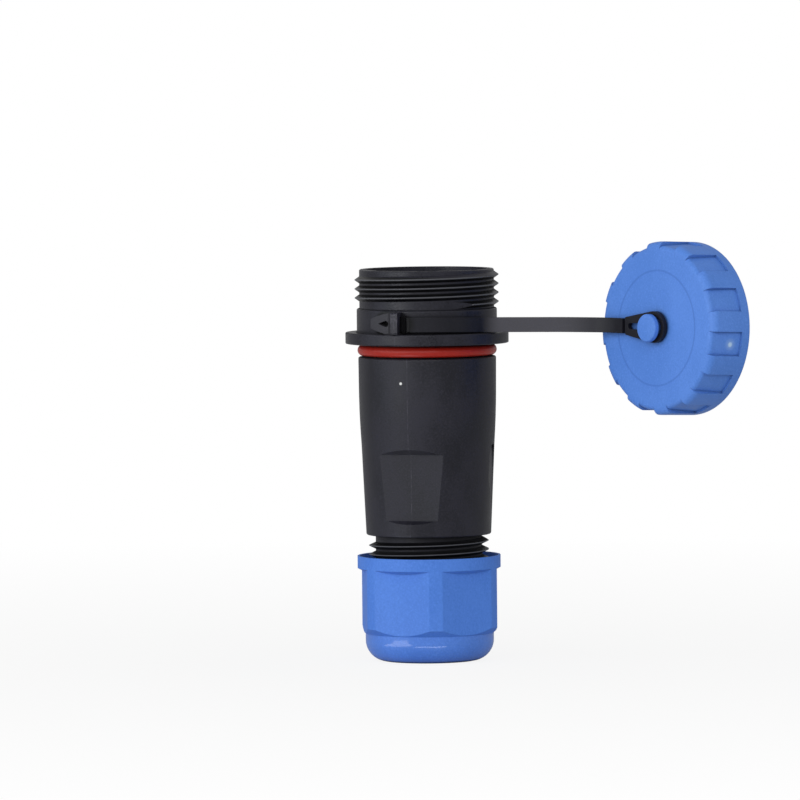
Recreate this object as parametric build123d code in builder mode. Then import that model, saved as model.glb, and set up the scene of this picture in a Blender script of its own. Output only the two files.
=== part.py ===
from build123d import *
import math
import os

# In-line cable receptacle of a round multi-pole connector, with a tethered dust cap.
# Millimetres. The axis is Z, the mating end is up, and the origin is the middle of the
# gland nut's flat base. X is the side the cap hangs on, -Y is the front.
# An azimuth is measured about Z from the front, positive towards +X.

os.makedirs("parts", exist_ok=True)

# Heights of the main faces along the axis
nut_height = 17.6
nut_gap = 3.5
back_shell_length = 29.7
flange_thickness = 1.9
collar_height = 3.96
neck_height = 0.64
thread_zone_height = 5.84

# Clearances between pieces
thread_clearance = 0.15
insert_clearance = 0.1
contact_clearance = 0.05
seal_clearance = 0.15
gland_clearance = 0.15
gasket_clearance = 0.1
strap_clearance = 0.15
lug_slot_clearance = 0.1

# Front shell, from the insert's bore outwards
insert_bore_diameter = 16.4
insert_ledge = 0.4
insert_lip_height = 0.8
spigot_wall = 1.3
spigot_length = 7.6
mating_ledge = 1.95
mating_bore_depth = 8.0
mating_wall = 1.08
thread_pitch = 1.5
thread_depth = 0.77
thread_lead = 0.06
thread_runout = 0.85
thread_start_azimuth = 20.0
ridge_crest_width = 0.1
ridge_foot_gap = 0.32
ridge_sunk = 0.25
collar_step = 0.45
flange_step = 1.92
keyway_depth = 0.4
keyway_widths = (3.2, 1.6, 1.6, 1.6, 1.6)
keyway_azimuths = (0, 50, 85, 275, 310)
rim_chamfer = 0.15
flange_round = 0.2
collar_round = 0.3

# Lug that holds the tether
lug_azimuth = -23.5
lug_width = 1.25
lug_height = 2.2
lug_margin = 0.3
lug_root = 0.5
lug_round = 0.31

# Insert, contacts and retaining ring
insert_flange_length = 6.0
insert_tail_length = 2.4
contact_count = 7
contact_circle_diameter = 9.6
contact_diameter = 2.4
contact_bore_diameter = 1.6
contact_bore_depth = 7.0
contact_collar_diameter = 3.1
contact_collar_length = 1.2
contact_collar_offset = 6.5
contact_length = 18.0
solder_cup_bore = 1.8
solder_cup_depth = 3.2
solder_cup_lip = 0.3
solder_cup_rise = 0.8
retainer_thickness = 2.0
retainer_wall = 1.4

# Ring seal between the flange and the back shell
seal_section = 1.9
seal_proud = 0.12

# Back shell, from its socket outwards
joint_wall = 1.83
knee_drop = 0.18
knee_height = 19.0
waist_drop = 0.45
waist_height = 14.0
foot_drop = 1.08
shell_edge_round = 0.3
joint_socket_depth = 8.1
socket_shoulder = 0.85
wire_space_floor = 4.5
rear_bore_diameter = 15.2
rear_seat_width = 1.4
rear_seat_depth = 10.4
rear_neck_wall = 1.27
rear_neck_length = 13.3
rear_thread_depth = 1.13
rear_thread_lead = 1.46
rear_thread_runout = 0.95

# Spanner flats and side dimples of the back shell
flat_azimuth = -16.9
flat_wall = 0.75
flat_length = 10.95
flat_bottom = 2.75
flat_end_angle = 32.0
dimple_azimuth = 94.0
dimple_width = 3.6
dimple_length = 11.2
dimple_bottom = 3.9
dimple_depth = 0.15
dimple_corner = 1.6

# Cable seal, clamp cage and slip washer
cable_diameter = 9.6
seal_sleeve_length = 3.1
washer_thickness = 0.7
cage_ring_length = 2.4
cage_finger_length = 6.4
cage_finger_count = 8
cage_slot_width = 1.1
cage_foot_gap = 2.2

# Gland nut
nut_wall = 1.78
nut_flat_wall = 0.7
nut_rim_height = 2.05
nut_flat_azimuth = 35.0
nut_chamfer_height = 0.8
nut_bore_round = 0.2
nut_seat_width = 2.4
nut_seat_rise = 3.0
cable_hole_diameter = 12.0
cable_hole_length = 1.4
nut_end_flat = 1.2
dome_step = 0.15
dome_edge = 1.15

# Dust cap and its gasket
cap_wall = 2.15
cap_depth = 7.8
cap_end_wall = 1.0
cap_face_round = 1.3
cap_mouth_round = 0.3
cap_height = 55.93
cap_turn = 50.4
cap_lean = 2.5
grip_count = 12
grip_depth = 0.75
grip_angle = 17.2
grip_band = 1.5
grip_phase = 10.8
knob_diameter = 4.6
knob_height = 2.35
knob_head_thickness = 0.85
knob_stem_diameter = 3.0
knob_round = 0.25
gasket_thickness = 0.7
gasket_width = 2.35

# Tether: a moulded strap with a barbed tail, held in the lug, and an eye round the knob
strap_width = 2.5
strap_thickness = 0.9
strap_drop = 0.35
strap_wrap_end = 45.0
strap_turn_radius = 2.3
strap_run = 10.2
first_bend_radius = 14.7
first_bend_angle = 15.0
middle_run = 3.1
second_bend_radius = 8.6
end_run = 1.0
head_length = 7.5
head_overlap = 0.2
eye_diameter = 5.2
eye_thickness = 1.1
eye_hole_diameter = 3.3
eye_slot_width = 1.3
eye_slot_length = 6.3
tail_gap = 0.43
tail_length = 4.4
tail_width = 3.2
tail_thickness = 1.1
tail_round = 1.4
tail_hole_diameter = 1.0
tail_hole_offset = 1.4
tail_hole_point = 1.3
shoulder_gap = 0.13
shoulder_width = 3.1
shoulder_length = 1.3

# Sizes that follow from those above
insert_lip_diameter = insert_bore_diameter - 2 * insert_ledge
spigot_diameter = insert_bore_diameter + 2 * spigot_wall
mating_bore_diameter = insert_bore_diameter + 2 * mating_ledge
thread_root_radius = mating_bore_diameter / 2 + mating_wall
front_thread_radius = thread_root_radius + thread_depth
collar_radius = thread_root_radius + collar_step
flange_radius = collar_radius + flange_step
socket_radius = spigot_diameter / 2 + thread_clearance
shell_top_radius = socket_radius + joint_wall
wire_space_radius = socket_radius - socket_shoulder
flat_distance = wire_space_radius + flat_wall
seal_radius = shell_top_radius + seal_proud
rear_passage_radius = rear_bore_diameter / 2 - rear_seat_width
rear_root_radius = rear_bore_diameter / 2 + rear_neck_wall
rear_thread_radius = rear_root_radius + rear_thread_depth
gland_radius = rear_bore_diameter / 2 - gland_clearance
nut_bore_radius = rear_thread_radius + thread_clearance
nut_radius = nut_bore_radius + nut_wall
nut_flat_distance = nut_bore_radius + nut_flat_wall
dome_radius = nut_flat_distance - dome_step
cable_hole_radius = cable_hole_diameter / 2
dome_round = dome_radius - cable_hole_radius - nut_end_flat
cap_bore_radius = front_thread_radius + thread_clearance
cap_radius = cap_bore_radius + cap_wall
gasket_radius = cap_bore_radius - gasket_clearance
strap_radius = collar_radius + strap_clearance + strap_thickness / 2

# Heights that follow from those above
back_shell_bottom_z = nut_height + nut_gap
back_shell_top_z = back_shell_bottom_z + back_shell_length
flange_bottom_z = back_shell_top_z + seal_section + 2 * seal_clearance
flange_top_z = flange_bottom_z + flange_thickness
collar_top_z = flange_top_z + collar_height
thread_start_z = collar_top_z + neck_height
shell_top_z = thread_start_z + thread_zone_height
insert_face_z = shell_top_z - mating_bore_depth
lip_z = insert_face_z - insert_lip_height
spigot_end_z = back_shell_top_z - spigot_length
strap_z = (flange_top_z + collar_top_z) / 2 - strap_drop
rear_neck_end_z = back_shell_bottom_z - rear_neck_length
dome_height = dome_round + dome_edge
nut_seat_top = cable_hole_length + nut_seat_rise


def axial_plane(azimuth, z=0.0):
    """Plane whose local x points outwards at the azimuth and whose local y is the axis."""
    turn = math.radians(azimuth - 90)
    outward = Vector(math.cos(turn), math.sin(turn), 0)
    return Plane(origin=(0, 0, z), x_dir=outward, z_dir=outward.cross(Vector(0, 0, 1)))


def tangent_plane(azimuth, distance, z):
    """Plane that faces outwards at the azimuth, its local y pointing up."""
    turn = math.radians(azimuth - 90)
    outward = Vector(math.cos(turn), math.sin(turn), 0)
    across = Vector(0, 0, 1).cross(outward)
    return Plane(origin=outward * distance + Vector(0, 0, z), x_dir=across, z_dir=outward)


def thread_ridge(root_radius, depth, low_z, turns):
    """Single-start right-hand V ridge that starts on +X."""
    half_root = (thread_pitch - ridge_foot_gap) / 2
    half_crest = ridge_crest_width / 2
    half_sunk = half_root + ridge_sunk * (half_root - half_crest) / depth
    start = Plane(origin=(root_radius, 0, low_z), x_dir=(1, 0, 0), z_dir=(0, -1, 0))
    with BuildPart() as ridge:
        with BuildLine() as path:
            Helix(pitch=thread_pitch, height=thread_pitch * turns, radius=root_radius,
                  center=(0, 0, low_z))
        with BuildSketch(start):
            with BuildLine():
                Polyline((-ridge_sunk, -half_sunk), (depth, -half_crest), (depth, half_crest),
                         (-ridge_sunk, half_sunk), close=True)
            make_face()
        sweep(path=path.line, is_frenet=True)
    return ridge.part


def ridge_fade(root_radius, azimuth, low_z, high_z):
    """Block outside the flat that touches the root at the azimuth: cutting it fades a ridge's end."""
    with BuildPart() as block:
        with BuildSketch(tangent_plane(azimuth, root_radius, (low_z + high_z) / 2)):
            Rectangle(root_radius, high_z - low_z)
        extrude(amount=root_radius)
    return block.part


# Front shell: threaded mating end, collar with the tether lug, flange, and the spigot
# that the back shell screws on to. The seam of each turned face lies at the back.
turning_plane = axial_plane(150)
front_ridge_turns = (thread_zone_height - thread_lead - thread_runout) / thread_pitch
front_ridge_z = thread_start_z + thread_lead
front_ridge_end_z = front_ridge_z + front_ridge_turns * thread_pitch
front_ridge_end = thread_start_azimuth + 360 * front_ridge_turns
front_ridge = thread_ridge(thread_root_radius, thread_depth, front_ridge_z, front_ridge_turns)

lug_inner = collar_radius - lug_root
lug_outer = collar_radius + lug_height
slot_half_height = strap_width / 2 + lug_slot_clearance
slot_outer = strap_radius + strap_thickness / 2 + lug_slot_clearance
lug_base_z = flange_top_z
lug_top_z = collar_top_z - lug_margin
with BuildPart() as tether_lug:
    with BuildSketch(axial_plane(lug_azimuth)):
        with BuildLine():
            Polyline((lug_inner, lug_base_z), (lug_outer, lug_base_z), (lug_outer, lug_top_z),
                     (lug_inner, lug_top_z), close=True)
        make_face()
    extrude(amount=lug_width / 2, both=True)
    lug_edges = tether_lug.edges().filter_by(Axis.Z, reverse=True).sort_by(
        lambda edge: math.hypot(edge.center().X, edge.center().Y))[-2:]
    fillet(lug_edges, lug_round)
    with BuildSketch(axial_plane(lug_azimuth)):
        with BuildLine():
            Polyline((lug_inner, strap_z - slot_half_height), (slot_outer, strap_z - slot_half_height),
                     (slot_outer, strap_z + slot_half_height), (lug_inner, strap_z + slot_half_height),
                     close=True)
        make_face()
    extrude(amount=lug_width, both=True, mode=Mode.SUBTRACT)

with BuildPart() as front_shell:
    with BuildSketch(turning_plane):
        with BuildLine():
            Polyline(
                (mating_bore_diameter / 2, shell_top_z),
                (mating_bore_diameter / 2, insert_face_z),
                (insert_lip_diameter / 2, insert_face_z),
                (insert_lip_diameter / 2, lip_z),
                (insert_bore_diameter / 2, lip_z),
                (insert_bore_diameter / 2, spigot_end_z),
                (spigot_diameter / 2, spigot_end_z),
                (spigot_diameter / 2, flange_bottom_z),
                (flange_radius, flange_bottom_z),
                (flange_radius, flange_top_z),
                (collar_radius, flange_top_z),
                (collar_radius, collar_top_z),
                (thread_root_radius, collar_top_z),
                (thread_root_radius, shell_top_z - rim_chamfer),
                (thread_root_radius - rim_chamfer, shell_top_z),
                close=True,
            )
        make_face()
    revolve(axis=Axis.Z)
    flange_edges = front_shell.edges().filter_by(GeomType.CIRCLE).filter_by(
        lambda edge: abs(edge.radius - flange_radius) < 0.01)
    fillet(flange_edges, flange_round)
    collar_edges = front_shell.edges().filter_by(GeomType.CIRCLE).filter_by(
        lambda edge: abs(edge.radius - collar_radius) < 0.01 and edge.center().Z > collar_top_z - 0.01)
    fillet(collar_edges, collar_round)
    add(front_ridge, rotation=(0, 0, thread_start_azimuth - 90))
    add(ridge_fade(thread_root_radius, thread_start_azimuth, collar_top_z, front_ridge_z + thread_pitch / 2),
        mode=Mode.SUBTRACT)
    add(ridge_fade(thread_root_radius, front_ridge_end, front_ridge_end_z - thread_pitch / 2,
                   front_ridge_end_z + thread_pitch), mode=Mode.SUBTRACT)
    add(tether_lug.part)
    for azimuth, width in zip(keyway_azimuths, keyway_widths):
        with BuildSketch(Plane.XY.offset(insert_face_z)):
            with PolarLocations(mating_bore_diameter / 2, 1, start_angle=azimuth - 90):
                Rectangle(2 * keyway_depth, width)
        extrude(amount=mating_bore_depth, mode=Mode.SUBTRACT)

# Contact insert: a stepped moulding pushed in from behind against the lip
insert_boss_radius = insert_lip_diameter / 2 - insert_clearance
insert_flange_radius = insert_bore_diameter / 2 - insert_clearance
insert_flange_z = lip_z - insert_flange_length
insert_tail_z = insert_flange_z - insert_tail_length
retainer_inner_radius = insert_bore_diameter / 2 - retainer_wall
contact_hole_radius = contact_diameter / 2 + contact_clearance
contact_pocket_radius = contact_collar_diameter / 2 + contact_clearance
contact_collar_z = insert_face_z - contact_collar_offset
contact_places = [Vector(0, 0, 0)] + [
    Vector(contact_circle_diameter / 2, 0, 0).rotate(Axis.Z, k * 360 / (contact_count - 1))
    for k in range(contact_count - 1)
]

with BuildPart() as contact_insert:
    with BuildSketch(turning_plane):
        with BuildLine():
            Polyline(
                (0, insert_face_z),
                (insert_boss_radius, insert_face_z),
                (insert_boss_radius, lip_z),
                (insert_flange_radius, lip_z),
                (insert_flange_radius, insert_flange_z),
                (retainer_inner_radius - insert_clearance, insert_flange_z),
                (retainer_inner_radius - insert_clearance, insert_tail_z),
                (0, insert_tail_z),
                close=True,
            )
        make_face()
    revolve(axis=Axis.Z)
    with BuildSketch(Plane.XY.offset(insert_tail_z)):
        with Locations(*contact_places):
            Circle(contact_hole_radius)
    extrude(amount=insert_face_z - insert_tail_z, mode=Mode.SUBTRACT)
    with BuildSketch(Plane.XY.offset(insert_tail_z)):
        with Locations(*contact_places):
            Circle(contact_pocket_radius)
    extrude(amount=contact_collar_z - insert_tail_z, mode=Mode.SUBTRACT)

with BuildPart() as insert_retainer:
    with BuildSketch(Plane.XY.offset(insert_flange_z)):
        Circle(insert_bore_diameter / 2 - contact_clearance)
        Circle(retainer_inner_radius, mode=Mode.SUBTRACT)
    extrude(amount=-retainer_thickness)


def socket_contact(place, outward):
    """Turned socket contact with a collar and an open solder cup that faces outwards."""
    radius = contact_diameter / 2
    bottom_z = insert_face_z - contact_length
    cup_top_z = bottom_z + solder_cup_depth
    cup_direction = Vector(math.cos(outward), math.sin(outward), 0)
    section = Plane(origin=place, x_dir=cup_direction, z_dir=cup_direction.cross(Vector(0, 0, 1)))
    with BuildPart() as contact:
        with BuildSketch(section):
            with BuildLine():
                Polyline(
                    (contact_bore_diameter / 2, insert_face_z),
                    (radius, insert_face_z),
                    (radius, contact_collar_z),
                    (contact_collar_diameter / 2, contact_collar_z),
                    (contact_collar_diameter / 2, contact_collar_z - contact_collar_length),
                    (radius, contact_collar_z - contact_collar_length),
                    (radius, bottom_z),
                    (solder_cup_bore / 2, bottom_z),
                    (solder_cup_bore / 2, cup_top_z),
                    (0, cup_top_z),
                    (0, insert_face_z - contact_bore_depth),
                    (contact_bore_diameter / 2, insert_face_z - contact_bore_depth),
                    close=True,
                )
            make_face()
        revolve(axis=Axis(place, (0, 0, 1)))
        with BuildSketch(section):
            with BuildLine():
                Polyline((solder_cup_lip, bottom_z), (radius * 2, bottom_z), (radius * 2, cup_top_z),
                         (solder_cup_lip, cup_top_z - solder_cup_rise), close=True)
            make_face()
        extrude(amount=radius * 2, both=True, mode=Mode.SUBTRACT)
    return contact


contacts = [
    socket_contact(place, math.atan2(place.Y, place.X))
    for place in contact_places
]

# Ring seal between the flange and the back shell
seal_centre = Vector(seal_radius - seal_section / 2, (flange_bottom_z + back_shell_top_z) / 2)
with BuildPart() as flange_o_ring:
    with BuildSketch(turning_plane):
        with Locations((seal_centre.X, seal_centre.Y)):
            Circle(seal_section / 2)
    revolve(axis=Axis.Z)

# Back shell: tapered sleeve with two spanner flats, ending in the threaded gland neck
socket_floor_z = back_shell_top_z - joint_socket_depth
wire_floor_z = back_shell_bottom_z + wire_space_floor
rear_seat_z = rear_neck_end_z + rear_seat_depth
knee_z = back_shell_bottom_z + knee_height
waist_z = back_shell_bottom_z + waist_height
foot_radius = shell_top_radius - foot_drop
waist_radius = shell_top_radius - waist_drop
rear_ridge_turns = (rear_neck_length - rear_thread_lead - rear_thread_runout) / thread_pitch
rear_ridge_z = rear_neck_end_z + rear_thread_lead
rear_ridge_end_z = rear_ridge_z + rear_ridge_turns * thread_pitch
rear_ridge_end = thread_start_azimuth + 360 * rear_ridge_turns
rear_ridge = thread_ridge(rear_root_radius, rear_thread_depth, rear_ridge_z, rear_ridge_turns)

with BuildPart() as back_shell:
    with BuildSketch(turning_plane):
        with BuildLine():
            outer = Polyline(
                (rear_bore_diameter / 2, rear_neck_end_z),
                (rear_root_radius, rear_neck_end_z),
                (rear_root_radius, back_shell_bottom_z),
                (foot_radius, back_shell_bottom_z),
            )
            flank = Line(outer @ 1, (waist_radius, waist_z))
            shoulder = Spline(
                flank @ 1,
                (shell_top_radius - knee_drop, knee_z),
                (shell_top_radius, back_shell_top_z),
                tangents=(flank % 1, (0.01, 1)),
            )
            Polyline(
                shoulder @ 1,
                (socket_radius, back_shell_top_z),
                (socket_radius, socket_floor_z),
                (wire_space_radius, socket_floor_z),
                (wire_space_radius, wire_floor_z),
                (rear_passage_radius, wire_floor_z),
                (rear_passage_radius, rear_seat_z),
                (rear_bore_diameter / 2, rear_seat_z),
                outer @ 0,
            )
        make_face()
    revolve(axis=Axis.Z)
    rim_edges = back_shell.edges().filter_by(GeomType.CIRCLE).filter_by(
        lambda edge: edge.radius > foot_radius - 0.01
        and (abs(edge.center().Z - back_shell_bottom_z) < 0.01
             or abs(edge.center().Z - back_shell_top_z) < 0.01))
    fillet(rim_edges, shell_edge_round)
    flat_low_z = back_shell_bottom_z + flat_bottom
    flat_high_z = flat_low_z + flat_length
    flat_run = shell_top_radius
    flat_rise = flat_run * math.tan(math.radians(flat_end_angle))
    for turn in (0, 180):
        with BuildSketch(axial_plane(flat_azimuth + turn)):
            with BuildLine():
                Polyline(
                    (flat_distance, flat_low_z),
                    (flat_distance + flat_run, flat_low_z - flat_rise),
                    (flat_distance + flat_run, flat_high_z + flat_rise),
                    (flat_distance, flat_high_z),
                    close=True,
                )
            make_face()
        extrude(amount=shell_top_radius, both=True, mode=Mode.SUBTRACT)
    taper = math.atan2(waist_radius - foot_radius, waist_height)
    dimple_z = back_shell_bottom_z + dimple_bottom + dimple_length / 2
    dimple_radius = foot_radius + (dimple_z - back_shell_bottom_z) * math.tan(taper) - dimple_depth
    for turn in (0, 180):
        facing = tangent_plane(flat_azimuth + dimple_azimuth + turn, dimple_radius, dimple_z)
        tilted = facing.rotated((-math.degrees(taper), 0, 0))
        with BuildSketch(tilted):
            RectangleRounded(dimple_width, dimple_length, dimple_corner)
        extrude(amount=dimple_width, mode=Mode.SUBTRACT)
    add(rear_ridge, rotation=(0, 0, thread_start_azimuth - 90))
    add(ridge_fade(rear_root_radius, rear_ridge_end, rear_ridge_end_z - thread_pitch / 2,
                   back_shell_bottom_z), mode=Mode.SUBTRACT)

# Cable seal, slip washer and clamp cage, stacked in the gland neck
cage_bottom_z = cage_foot_gap
cage_bore_radius = cable_hole_radius + gland_clearance
cage_ring_z = cage_bottom_z + cage_finger_length
washer_z = cage_ring_z + cage_ring_length
seal_z = washer_z + washer_thickness
seat_slope = nut_seat_rise / nut_seat_width
finger_tip_radius = cable_hole_radius + (cage_bottom_z - cable_hole_length) / seat_slope - gland_clearance
finger_full_z = cage_bottom_z + (gland_radius - finger_tip_radius) * seat_slope

with BuildPart() as cable_seal:
    with BuildSketch(Plane.XY.offset(seal_z)):
        Circle(gland_radius)
        Circle(cable_diameter / 2, mode=Mode.SUBTRACT)
    extrude(amount=seal_sleeve_length)

with BuildPart() as slip_washer:
    with BuildSketch(Plane.XY.offset(washer_z)):
        Circle(gland_radius)
        Circle(cable_diameter / 2 + gland_clearance, mode=Mode.SUBTRACT)
    extrude(amount=washer_thickness)

with BuildPart() as clamp_cage:
    with BuildSketch(turning_plane):
        with BuildLine():
            Polyline(
                (cage_bore_radius, cage_bottom_z),
                (finger_tip_radius, cage_bottom_z),
                (gland_radius, finger_full_z),
                (gland_radius, washer_z),
                (cage_bore_radius, washer_z),
                close=True,
            )
        make_face()
    revolve(axis=Axis.Z)
    with BuildSketch(Plane.XY.offset(cage_bottom_z)):
        with PolarLocations(gland_radius, cage_finger_count):
            Rectangle(gland_radius, cage_slot_width)
    extrude(amount=cage_ring_z - cage_bottom_z, mode=Mode.SUBTRACT)

# Gland nut: round rim over a hexagon, with a domed end
hex_top_z = nut_height - nut_rim_height
with BuildPart() as gland_nut:
    with BuildSketch(turning_plane):
        with BuildLine():
            base = Line((cable_hole_radius, 0), (dome_radius - dome_round, 0))
            dome = RadiusArc(base @ 1, (dome_radius, dome_round), -dome_round)
            Polyline(
                dome @ 1,
                (dome_radius, dome_height),
                (nut_radius, dome_height + nut_chamfer_height),
                (nut_radius, nut_height),
                (nut_bore_radius, nut_height),
                (nut_bore_radius, nut_seat_top),
                (cable_hole_radius + nut_seat_width, nut_seat_top),
                (cable_hole_radius, cable_hole_length),
                base @ 0,
            )
        make_face()
    revolve(axis=Axis.Z)
    nut_edges = gland_nut.edges().filter_by(GeomType.CIRCLE).filter_by(
        lambda edge: edge.radius > rear_thread_radius and edge.center().Z > nut_height - 0.01)
    fillet(nut_edges, nut_bore_round)
    with BuildSketch(Plane.XY):
        Circle(2 * nut_radius)
        RegularPolygon(nut_flat_distance, 6, major_radius=False,
                       rotation=nut_flat_azimuth - 90 + 30, mode=Mode.SUBTRACT)
    extrude(amount=hex_top_z, mode=Mode.SUBTRACT)

# Tether path: it wraps the collar, turns away along X and bends on to the cap's face
wrap_start = lug_azimuth - math.degrees((lug_width / 2 + tail_gap) / strap_radius)
with BuildLine(Plane.XY.offset(strap_z)) as strap_path:
    wrap = CenterArc((0, 0), strap_radius, wrap_start - 90, strap_wrap_end - wrap_start)
    turn_out = JernArc(wrap @ 1, wrap % 1, strap_turn_radius, -strap_wrap_end)
    run = PolarLine(turn_out @ 1, strap_run, direction=turn_out % 1)
    first_bend = JernArc(run @ 1, run % 1, first_bend_radius, -first_bend_angle)
    middle = PolarLine(first_bend @ 1, middle_run, direction=first_bend % 1)
    second_bend = JernArc(middle @ 1, middle % 1, second_bend_radius, first_bend_angle - cap_turn)
    last = PolarLine(second_bend @ 1, end_run, direction=second_bend % 1)

cap_across = Vector(math.cos(math.radians(cap_turn)), -math.sin(math.radians(cap_turn)), 0)
cap_level = Vector(-math.sin(math.radians(cap_turn)), -math.cos(math.radians(cap_turn)), 0)
cap_outward = cap_level * math.cos(math.radians(cap_lean)) + Vector(0, 0, math.sin(math.radians(cap_lean)))
eye_centre = last @ 1 + cap_across * head_length
eye_centre = Vector(eye_centre.X, eye_centre.Y, cap_height)
stem_length = knob_height - knob_head_thickness
face_centre = eye_centre - cap_outward * (stem_length / 2)
eye_plane = Plane(origin=eye_centre, x_dir=cap_across, z_dir=cap_outward)
cap_face = Plane(origin=face_centre, x_dir=cap_across, z_dir=cap_outward)
cap_section = Plane(origin=face_centre, x_dir=cap_across, z_dir=cap_across.cross(cap_outward))
cap_axis = Axis(face_centre, cap_outward)

tail_reach = math.degrees(tail_length / strap_radius)
with BuildPart() as tether_tail:
    with BuildSketch(Plane.XY.offset(strap_z - tail_width / 2)):
        with BuildLine() as tail_path:
            CenterArc((0, 0), strap_radius + (tail_thickness - strap_thickness) / 2,
                      wrap_start - 90, -tail_reach)
        trace(tail_path.line, line_width=tail_thickness)
    extrude(amount=tail_width)
    tip_edges = tether_tail.edges().filter_by(
        lambda edge: abs(edge.length - tail_thickness) < 0.01).sort_by(Axis.X)[:2]
    fillet(tip_edges, tail_round)
    tail_facing = tangent_plane(wrap_start - tail_reach / 2, strap_radius - tail_thickness, strap_z)
    with BuildSketch(tail_facing):
        with Locations((tail_hole_offset, 0)):
            Circle(tail_hole_diameter / 2)
        with BuildLine():
            Polyline((tail_hole_offset, tail_hole_diameter / 2), (tail_hole_offset - tail_hole_point, 0),
                     (tail_hole_offset, -tail_hole_diameter / 2), close=True)
        make_face()
    extrude(amount=2 * tail_thickness, mode=Mode.SUBTRACT)

with BuildPart() as cap_tether:
    with BuildSketch(Plane.XY.offset(strap_z - strap_width / 2)):
        trace(strap_path.line, line_width=strap_thickness)
    extrude(amount=strap_width)
    with BuildSketch(eye_plane.offset(-eye_thickness / 2)):
        with BuildLine():
            CenterArc((0, 0), eye_diameter / 2, 0, 360)
            Line((-head_length - head_overlap, strap_z - cap_height - strap_width / 2),
                 (-head_length - head_overlap, strap_z - cap_height + strap_width / 2))
        make_hull()
    extrude(amount=eye_thickness)
    with BuildSketch(eye_plane.offset(-eye_thickness)):
        with BuildLine():
            CenterArc((0, 0), eye_hole_diameter / 2, 0, 360)
            CenterArc((eye_slot_width / 2 - eye_slot_length, 0), eye_slot_width / 2, 0, 360)
        make_hull()
    extrude(amount=2 * eye_thickness, mode=Mode.SUBTRACT)
    add(tether_tail.part)
    shoulder_start = lug_azimuth + math.degrees((lug_width / 2 + shoulder_gap) / strap_radius)
    with BuildSketch(Plane.XY.offset(strap_z - shoulder_width / 2)):
        with BuildLine() as shoulder_path:
            CenterArc((0, 0), strap_radius, shoulder_start - 90,
                      math.degrees(shoulder_length / strap_radius))
        trace(shoulder_path.line, line_width=strap_thickness)
    extrude(amount=shoulder_width)

# Dust cap with its grip recesses and the knob that carries the tether's eye
grip_width = 2 * cap_radius * math.sin(math.radians(grip_angle / 2))
with BuildPart() as dust_cap:
    with BuildSketch(cap_section):
        with BuildLine():
            Polyline(
                (0, 0), (cap_radius, 0), (cap_radius, -cap_depth),
                (cap_bore_radius, -cap_depth), (cap_bore_radius, -cap_end_wall),
                (0, -cap_end_wall), close=True,
            )
        make_face()
    revolve(axis=cap_axis)
    outer_rings = dust_cap.edges().filter_by(GeomType.CIRCLE).filter_by(
        lambda edge: abs(edge.radius - cap_radius) < 0.01).sort_by(cap_axis)
    fillet(outer_rings[-1], cap_face_round)
    fillet(outer_rings[0], cap_mouth_round)
    with BuildSketch(cap_face.offset(grip_band - cap_depth)):
        with PolarLocations(cap_radius - grip_depth / 2, grip_count, start_angle=-grip_phase):
            Rectangle(grip_depth, grip_width)
    extrude(amount=cap_depth, mode=Mode.SUBTRACT)
    with BuildSketch(cap_face):
        Circle(knob_stem_diameter / 2)
    extrude(amount=stem_length)
    with BuildSketch(cap_face.offset(stem_length)):
        Circle(knob_diameter / 2)
    extrude(amount=knob_head_thickness)
    knob_rings = dust_cap.edges().filter_by(GeomType.CIRCLE).filter_by(
        lambda edge: abs(edge.radius - knob_diameter / 2) < 0.01).sort_by(cap_axis)
    fillet(knob_rings[-1], knob_round)

with BuildPart() as cap_gasket:
    with BuildSketch(cap_face.offset(-cap_end_wall)):
        Circle(gasket_radius)
        Circle(gasket_radius - gasket_width, mode=Mode.SUBTRACT)
    extrude(amount=-gasket_thickness)

pieces = {
    "front_shell": front_shell,
    "contact_insert": contact_insert,
    "insert_retainer": insert_retainer,
    "flange_o_ring": flange_o_ring,
    "back_shell": back_shell,
    "cable_seal": cable_seal,
    "slip_washer": slip_washer,
    "clamp_cage": clamp_cage,
    "gland_nut": gland_nut,
    "cap_tether": cap_tether,
    "dust_cap": dust_cap,
    "cap_gasket": cap_gasket,
}
for number, contact in enumerate(contacts, start=1):
    pieces[f"contact_{number}"] = contact
for name, piece in pieces.items():
    piece.part.label = name
    export_step(piece.part, f"parts/{name}.step")
    print(name, len(piece.solids()), piece.part.is_valid, round(piece.part.volume, 2))
for name, point in (("eye centre", eye_centre), ("face centre", face_centre), ("face normal", cap_outward)):
    print(name, [round(value, 6) for value in point])
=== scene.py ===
"""Dresses the in-line cable receptacle: its shells, gland nut, strap, dust cap and contacts."""

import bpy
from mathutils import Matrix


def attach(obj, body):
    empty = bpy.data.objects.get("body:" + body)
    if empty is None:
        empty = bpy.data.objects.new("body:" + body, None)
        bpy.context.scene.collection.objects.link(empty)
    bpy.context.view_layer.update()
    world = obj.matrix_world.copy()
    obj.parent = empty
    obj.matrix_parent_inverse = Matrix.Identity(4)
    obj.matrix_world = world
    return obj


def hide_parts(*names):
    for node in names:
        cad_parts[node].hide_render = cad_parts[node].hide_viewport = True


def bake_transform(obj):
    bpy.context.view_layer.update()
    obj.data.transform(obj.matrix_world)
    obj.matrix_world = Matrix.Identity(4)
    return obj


bl_info = {
    "name": "Cable Receptacle",
    "version": (1, 0, 0),
    "blender": (4, 5, 0),
    "location": "View3D > Sidebar > Receptacle",
    "description": "Models an in-line cable receptacle with its strap and dust cap",
    "category": "Mesh",
}

import math

import bpy
from bpy.props import FloatProperty, FloatVectorProperty, IntProperty, PointerProperty
from bpy.types import Operator, Panel, PropertyGroup
from mathutils import Matrix, Vector

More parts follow.
